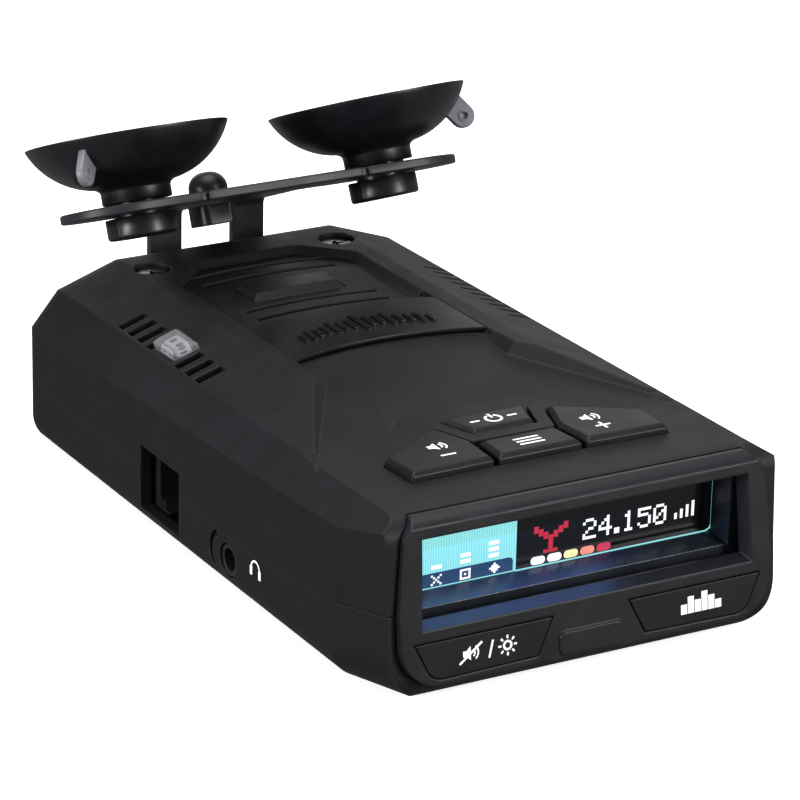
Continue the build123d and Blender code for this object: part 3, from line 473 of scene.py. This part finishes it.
def cup_profile():
    """Half section of the cup, from the middle of its foot round to the middle of its hollow."""
    foot = [(0.01, -3.9), (2.6, -3.9), (3.0, -4.05), (3.3, -4.5), (3.6, -4.6), (5.15, -4.6), (5.45, -4.52),
            (5.63, -4.32), (5.7, -4.0)]
    neck = [(5.7, -1.3), (5.62, -1.19), (5.5, -1.15), (4.15, -1.15), (4.15, 1.15), (5.5, 1.15), (5.62, 1.19),
            (5.7, 1.3), (5.7, 3.1), (5.85, 3.45), (6.25, 3.75)]
    outside = arc_points((6.6, 3.9), (12.65, 6.6), (CUP_RADIUS, 11.75), 22)
    rim = [(CUP_RADIUS, 11.84), (CUP_RADIUS - 0.12, 11.9), (CUP_RADIUS - 0.35, 11.86)]
    inside = arc_points((CUP_RADIUS - 0.5, 11.75), (12.0, 7.5), (5.0, 5.6), 20)
    return foot + neck + outside + rim + inside + [(3.2, 5.45), (1.4, 5.6), (0.01, 5.6)]


def cup_body(side, name):
    """Turned rubber cup with two moulding seams on its barrel and three soft waves in its rim."""
    cup = Cup(side)

    def build(bm):
        rings = []
        for r, w in cup_profile():
            ring = []
            for k in range(CUP_STEPS):
                angle = k * 360 / CUP_STEPS
                lift = SEAM_HEIGHT if k in SEAM_STEPS and BARREL_BAND[0] < r < BARREL_BAND[1] else 0.0
                near_rim = max(0.0, (r - WAVE_START) / (CUP_RADIUS - WAVE_START))
                ripple = WAVE_HEIGHT * math.sin(math.radians(3 * angle)) * near_rim
                ring.append(bm.verts.new(cup.at(r + lift, w - max(0.0, ripple), angle)))
            rings.append(ring)
        for lower, upper in zip(rings, rings[1:]):
            for k in range(CUP_STEPS):
                n = (k + 1) % CUP_STEPS
                bm.faces.new((lower[k], lower[n], upper[n], upper[k]))
        bm.faces.new(rings[0][::-1])
        bm.faces.new(rings[-1])

    node = "suction_cup_" + name
    piece = mesh_object(node + "_rubber", "cup_" + name, CUP, build, smooth=40.0)
    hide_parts(node)


def cup_tab(side, name, angle):
    """Pull tab: a rounded tongue under the rim, standing on the cup like a fin, with a round dimple."""
    cup = Cup(side)
    run = Vector((math.cos(TAB_LEAN), math.sin(TAB_LEAN)))
    across = Vector((-run.y, run.x))
    start, end = Vector((13.55, 9.5)), Vector((15.8, 6.28))

    def tongue():
        points = [start - across * TAB_HALF_WIDTH]
        for i in range(13):
            a = math.radians(-90 + 180 * i / 12)
            reach, shift = TAB_HALF_WIDTH * math.cos(a), TAB_HALF_WIDTH * math.sin(a)
            points.append(end + run * reach + across * shift)
        points.append(start + across * TAB_HALF_WIDTH)
        return points

    def place(point, depth):
        base = cup.at(point.x, point.y, angle)
        a = math.radians(angle)
        return base + cup.turn @ Vector((-math.sin(a), math.cos(a), 0)) * depth * MM

    def band(bm, lower, upper):
        for i in range(len(lower)):
            j = (i + 1) % len(lower)
            bm.faces.new((lower[i], lower[j], upper[j], upper[i]))

    def build(bm):
        outline = tongue()
        shoulder = TAB_HALF_THICKNESS - TAB_CORNER
        layers = []
        for depth, shrink in ((-TAB_HALF_THICKNESS, 0.22), (-shoulder, 0.0), (shoulder, 0.0),
                              (TAB_HALF_THICKNESS, 0.22)):
            edge = [p + (end - p).normalized() * shrink for p in outline]
            layers.append([bm.verts.new(place(p, depth)) for p in edge])
        for lower, upper in zip(layers, layers[1:]):
            band(bm, lower, upper)
        for previous, sign in ((layers[-1], 1), (layers[0], -1)):
            for radius, rise in TAB_DIMPLE:
                depth = sign * (TAB_HALF_THICKNESS + rise)
                ring = [bm.verts.new(place(end + (p - end).normalized() * radius, depth)) for p in outline]
                band(bm, previous, ring)
                previous = ring
            bm.faces.new(previous)

    piece = mesh_object("pull_tab_" + name, "cup_" + name, TAB, build, smooth=40.0)


for side, name, angle in ((-1, "left", 218.0), (1, "right", -12.0)):
    cup_body(side, name)
    cup_tab(side, name, angle)


# ---- display ----
FONT = {
    "0": ("01110", "10001", "10011", "10101", "11001", "10001", "01110"),
    "1": ("00100", "01100", "00100", "00100", "00100", "00100", "01110"),
    "2": ("01110", "10001", "00001", "00110", "01000", "10000", "11111"),
    "4": ("00010", "00110", "01010", "10010", "11111", "00010", "00010"),
    "5": ("11111", "10000", "11110", "00001", "00001", "10001", "01110"),
    ".": ("00", "00", "00", "00", "00", "11", "11"),
}
SIGNAL_MARK = ("1000001", "1100011", "0110110", "0011100", "0001000", "0001000", "0001000", "0011100")
BAND_MARKS = (
    ("10001", "01010", "00100", "01010", "10001"),
    ("11111", "10001", "10101", "10001", "11111"),
    ("00100", "01110", "11111", "01110", "00100"),
)
WAVE_MARK = ("0000001", "0000101", "0010101", "1010101", "1010101")
PIXEL_FILL = 0.93
LAYER_STEP, LAYER_THICKNESS = 0.015, 0.02
SCREEN_LEFT, SCREEN_MIDDLE, SCREEN_RIGHT = -25.4, -8.0, 25.72
SCREEN_LOW, SCREEN_HIGH = 14.05, 24.6
STRIP_LOW, STRIP_HIGH, STRIP_RIGHT = 14.25, 16.45, -8.5
DIGIT_CELL, DIGIT_GAP = 0.46, 0.9  # millimetres, cells
LEVEL_PITCH = 2.82


def pixel_marks(rows, left, top, cell_u, cell_v):
    """Squares for the ones of a dot pattern, from its upper left corner."""
    marks = []
    for j, row in enumerate(rows):
        v = top - (j + 0.5) * cell_v
        for i, bit in enumerate(row):
            if bit == "1":
                u = left + (i + 0.5) * cell_u
                marks.append(box_mark(u, v, cell_u * PIXEL_FILL, cell_v * PIXEL_FILL))
    return marks


def screen(name, mat, outlines, layer=1):
    """Lit marks just in front of the display panel; a higher layer lies over a lower one."""
    low = LAYER_STEP * layer
    return prints(name, "housing", SCREEN, mat, outlines, low, low + LAYER_THICKNESS)


screen("screen_panel_left", CYAN, [[(SCREEN_LEFT, SCREEN_LOW), (SCREEN_MIDDLE, SCREEN_LOW),
                                    (SCREEN_MIDDLE, SCREEN_HIGH), (SCREEN_LEFT, SCREEN_HIGH)]])
label_strip = [(SCREEN_LEFT, STRIP_LOW), (STRIP_RIGHT, STRIP_LOW), (STRIP_RIGHT, 15.9), (-8.75, 16.3),
               (-9.2, STRIP_HIGH), (SCREEN_LEFT, STRIP_HIGH)]
screen("screen_label_strip", NAVY, [label_strip], 2)
marks = []
for centre, rows in zip((-21.3, -16.5, -11.6), BAND_MARKS):
    marks += pixel_marks(rows, centre - 0.9, 16.1, 0.36, 0.33)
screen("screen_band_marks", WHITE, marks, 3)
marks = []
for centre, count in zip((-21.3, -16.5, -11.8), (1, 2, 3)):
    marks += [box_mark(centre, 17.3 + 1.0 * level, 1.7, 0.62) for level in range(count)]
screen("screen_band_bars", WHITE, marks, 2)
screen("screen_signal_mark", RED, pixel_marks(SIGNAL_MARK, -5.1, 20.4, 0.84, 0.56), 1)
marks = []
left = 3.3
for letter in "24.150":
    rows = FONT[letter]
    marks += pixel_marks(rows, left, 19.95, DIGIT_CELL, DIGIT_CELL)
    left += (len(rows[0]) + DIGIT_GAP) * DIGIT_CELL
screen("screen_digits", WHITE, marks, 1)
screen("screen_wave_mark", WHITE, pixel_marks(WAVE_MARK, 19.2, 19.5, 0.5, 0.5), 1)
for n, mat in enumerate((WHITE, WHITE, YELLOW, SALMON, CRIMSON)):
    screen("screen_level_%d" % n, mat, [round_box(-4.25 + LEVEL_PITCH * n, 14.98, 2.45, 1.25, 0.6)], 1)
border = [(SCREEN_MIDDLE, 13.95), (24.9, 13.95), (25.75, 14.35), (26.0, 15.0), (26.0, SCREEN_HIGH),
          (SCREEN_RIGHT, SCREEN_HIGH), (SCREEN_RIGHT, 15.1), (25.5, 14.5), (24.8, 14.2),
          (SCREEN_MIDDLE, 14.2)]
screen("screen_border", CYAN, [border], 1)


# ---- printed legends ----
INK_THICKNESS, STROKE = 0.02, 0.42
SUN_U, SUN_V, SUN_RAY = -14.2, -4.6, (1.05, 1.55)


def speaker_mark(u, v, s):
    """Loudspeaker with two sound waves, about twice s wide."""
    horn = [(u - 1.1 * s, v - 0.35 * s), (u - 0.65 * s, v - 0.35 * s), (u - 0.1 * s, v - 0.85 * s),
            (u - 0.1 * s, v + 0.85 * s), (u - 0.65 * s, v + 0.35 * s), (u - 1.1 * s, v + 0.35 * s)]
    waves = [arc_band(u - 0.1 * s, v, radius * s, 0.2 * s, -50, 50, 8) for radius in (0.55, 1.0)]
    return [horn] + waves


def key_top(node, flat):
    """How far a key's highest point stands above its working plane, in millimetres."""
    return max((Vector(vert.co) / MM - flat.o).dot(flat.n) for vert in NODES[node].data.vertices)


def legend(name, body, node, flat, outlines):
    """Marks printed on a key's top."""
    top = key_top(node, flat)
    return prints(name, body, flat, INK, outlines, top - INK_THICKNESS, top + INK_THICKNESS)


legend("legend_power", "power", "power_button", KEYPAD,
       [arc_band(0, 28.9, 1.25, STROKE, 115, 425, 24), box_mark(0, 30.0, STROKE, 1.5),
        box_mark(-3.2, 28.9, 1.6, STROKE), box_mark(3.2, 28.9, 1.6, STROKE)])
legend("legend_menu", "menu", "menu_button", KEYPAD,
       [box_mark(0, 18.6 + step, 4.2, STROKE) for step in (-1.05, 0, 1.05)])
legend("legend_volume_down", "volume_down", "volume_down_button", KEYPAD,
       speaker_mark(-13.2, 22.6, 1.5) + [box_mark(-13.4, 19.0, 2.5, STROKE)])
legend("legend_volume_up", "volume_up", "volume_up_button", KEYPAD,
       speaker_mark(13.0, 22.6, 1.5) + [box_mark(13.0, 18.9, 2.5, STROKE), box_mark(13.0, 18.9, STROKE, 2.5)])
sun = [arc_band(SUN_U, SUN_V, 0.62, 0.34, 0, 360, 20)]
for ray in range(8):
    a = math.radians(45 * ray)
    (u1, v1), (u2, v2) = [(SUN_U + r * math.cos(a), SUN_V + r * math.sin(a)) for r in SUN_RAY]
    sun.append(bar(u1, v1, u2, v2, 0.3))
crossing, divider = bar(-22.2, -6.0, -18.4, -3.2, 0.34), bar(-17.3, -5.9, -16.6, -3.3, 0.3)
legend("legend_mute", "mute", "mute_button", FACE,
       speaker_mark(-20.2, -4.6, 1.25) + [crossing, divider] + sun)
skyline = [box_mark(u, -5.9 + height / 2, 1.05, height)
           for u, height in ((15.9, 1.5), (17.1, 2.6), (18.3, 1.9), (19.5, 3.0), (20.7, 2.2), (21.9, 1.3))]
legend("legend_city", "city", "city_button", FACE, skyline)
headphones = [arc_band(23.2, 8.0, 1.35, 0.32, -10, 190, 20), round_box(21.85, 7.55, 0.75, 1.5, 0.25),
              round_box(24.55, 7.55, 0.75, 1.5, 0.25)]
prints("legend_audio", "housing", LEFT_SIDE, INK, headphones, -0.005, 0.025)

# ---- painted shadow: near-black sheets on the floors of the four grooves in the deck's recess ----
GROOVE_RADIUS, GROOVE_REACH, GROOVE_WIDTH = 60.6, 11.4, 1.3  # the reach is in degrees, each way
GROOVE_LOW, GROOVE_HIGH = -2.01, -1.97
# painted shadow laid in each groove floor
prints("groove_painted_shadows", "housing", RIM, GROOVE_SHADOW,
       [arc_band(0, middle - GROOVE_RADIUS, GROOVE_RADIUS, GROOVE_WIDTH, 90 - GROOVE_REACH, 90 + GROOVE_REACH)
        for middle in (106.1, 102.1, 87.7, 83.6)], GROOVE_LOW, GROOVE_HIGH)

# ---- sensor cell seen through the clear lens on the left ----
DECK_SLOPE = math.radians(19.0)
CELL_LOW, CELL_HIGH, EYE_LOW, EYE_HIGH, EYE_SPACING = 1.8, 2.1, 2.13, 2.2, 1.05
lens_low, lens_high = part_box("laser_sensor_lens")
CELL = Flat((lens_low + lens_high) / (2 * MM), (math.cos(DECK_SLOPE), 0, math.sin(DECK_SLOPE)),
            (-math.sin(DECK_SLOPE), 0, math.cos(DECK_SLOPE)))
prints("lens_cell", "housing", CELL, CELL_GREY, [round_box(0.0, 0.0, 2.6, 4.4, 0.5)], CELL_LOW, CELL_HIGH)
prints("lens_cell_eyes", "housing", CELL, CHIP,
       [disc_mark(0.0, v, 0.62) for v in (EYE_SPACING, -EYE_SPACING)], EYE_LOW, EYE_HIGH)

# ---- raised emblem on the badge: a plain waveform ----
EMBLEM_V, EMBLEM_PITCH, EMBLEM_SAG = 70.6, 1.62, 0.022
emblem = []
for n in range(-7, 8):
    u = EMBLEM_PITCH * n
    height = 2.0 + 5.2 * abs(math.cos(n * 1.05)) * (1 - abs(n) / 11)
    emblem.append(round_box(u, EMBLEM_V - EMBLEM_SAG * u ** 2, 0.9, height, 0.3, 3))
prints("badge_emblem", "housing", RIM, EMBLEM, emblem, -0.06, 0.3)

# ---- ground, light and camera ----
FLOOR_GLOW, FLOOR_REACH, WORLD_STRENGTH = 0.72, 3.0, 0.24
white = surface("studio_floor", (0.90, 0.90, 0.90), (0.55, 0.7), 30.0, 0.01, variation=0.01, mottle_mm=400.0)
light_up(white, FLOOR_GLOW)
bm = bmesh.new()
bmesh.ops.create_grid(bm, x_segments=1, y_segments=1, size=FLOOR_REACH)
floor_mesh = bpy.data.meshes.new("floor")
bm.to_mesh(floor_mesh)
bm.free()
floor_mesh.materials.append(white)
floor = bpy.data.objects.new("floor", floor_mesh)
floor.location.z = min(0.0, CAD_BOX[0][2])
bpy.context.scene.collection.objects.link(floor)
# the white floor would lighten the casing's dark sides, so reflections and bounced light don't see it
floor.visible_glossy = False
floor.visible_diffuse = False

world = bpy.data.worlds.new("studio")
bpy.context.scene.world = world
world.use_nodes = True
world.node_tree.nodes["Background"].inputs["Color"].default_value = (0.95, 0.97, 1.0, 1)
world.node_tree.nodes["Background"].inputs["Strength"].default_value = WORLD_STRENGTH


def softbox(name, place, target, size, power, colour=(1.0, 1.0, 1.0)):
    """Rectangular light facing a target; places and sizes in metres, power in watts."""
    light = bpy.data.lights.new(name, "AREA")
    light.color = colour
    light.shape = "RECTANGLE"
    light.size, light.size_y = size
    light.energy = power
    lamp = bpy.data.objects.new(name, light)
    lamp.location = place
    direction = Vector(target) - Vector(place)
    lamp.rotation_euler = direction.to_track_quat("-Z", "Y").to_euler()
    bpy.context.scene.collection.objects.link(lamp)


centre = (0.0, 0.0, 0.02)
screen_glow = Vector((-0.008, SCREEN_Y * MM - 0.0012, 0.021))
softbox("back_sweep", (0.50, 0.95, 0.34), centre, (1.4, 0.36), 1.7)
softbox("overhead", (0.0, 0.12, 1.0), centre, (0.9, 0.9), 11.0)
softbox("front_low", (0.42, -0.85, 0.16), centre, (0.5, 0.35), 1.9)
softbox("left_strip", (-0.75, -0.10, 0.20), centre, (0.10, 0.4), 5.0)
softbox("right_strip", (0.36, -0.66, 0.30), centre, (0.08, 0.4), 3.4)
softbox("screen_glow", screen_glow, screen_glow + Vector((0, -0.004, -0.006)), (0.036, 0.006), 0.004,
        (0.16, 0.36, 1.0))

# camera at the photo's angle, place and field
AZIMUTH, ELEVATION, ROLL = math.radians(-29.73), math.radians(21.71), math.radians(1.40)
CAMERA_PLACE = (-0.2896, -0.5102, 0.2543)
SENSOR_WIDTH, FOCAL_LENGTH = 36.0, 182.2  # millimetres
NEAR, FAR = 0.02, 20.0  # metres
forward = Vector((-math.sin(AZIMUTH) * math.cos(ELEVATION), math.cos(AZIMUTH) * math.cos(ELEVATION),
                  -math.sin(ELEVATION)))
level = forward.cross(Vector((0, 0, 1))).normalized()
above = level.cross(forward)
across = level * math.cos(ROLL) + above * math.sin(ROLL)
up = above * math.cos(ROLL) - level * math.sin(ROLL)
camera_data = bpy.data.cameras.new("photo_view")
camera_data.sensor_width = SENSOR_WIDTH
camera_data.lens = FOCAL_LENGTH
camera_data.clip_start, camera_data.clip_end = NEAR, FAR
camera = bpy.data.objects.new("photo_view", camera_data)
turn = Matrix((across, up, -forward)).transposed().to_4x4()
camera.matrix_world = Matrix.Translation(CAMERA_PLACE) @ turn
bpy.context.scene.collection.objects.link(camera)
bpy.context.scene.camera = camera
bpy.context.scene.view_settings.view_transform = "Standard"
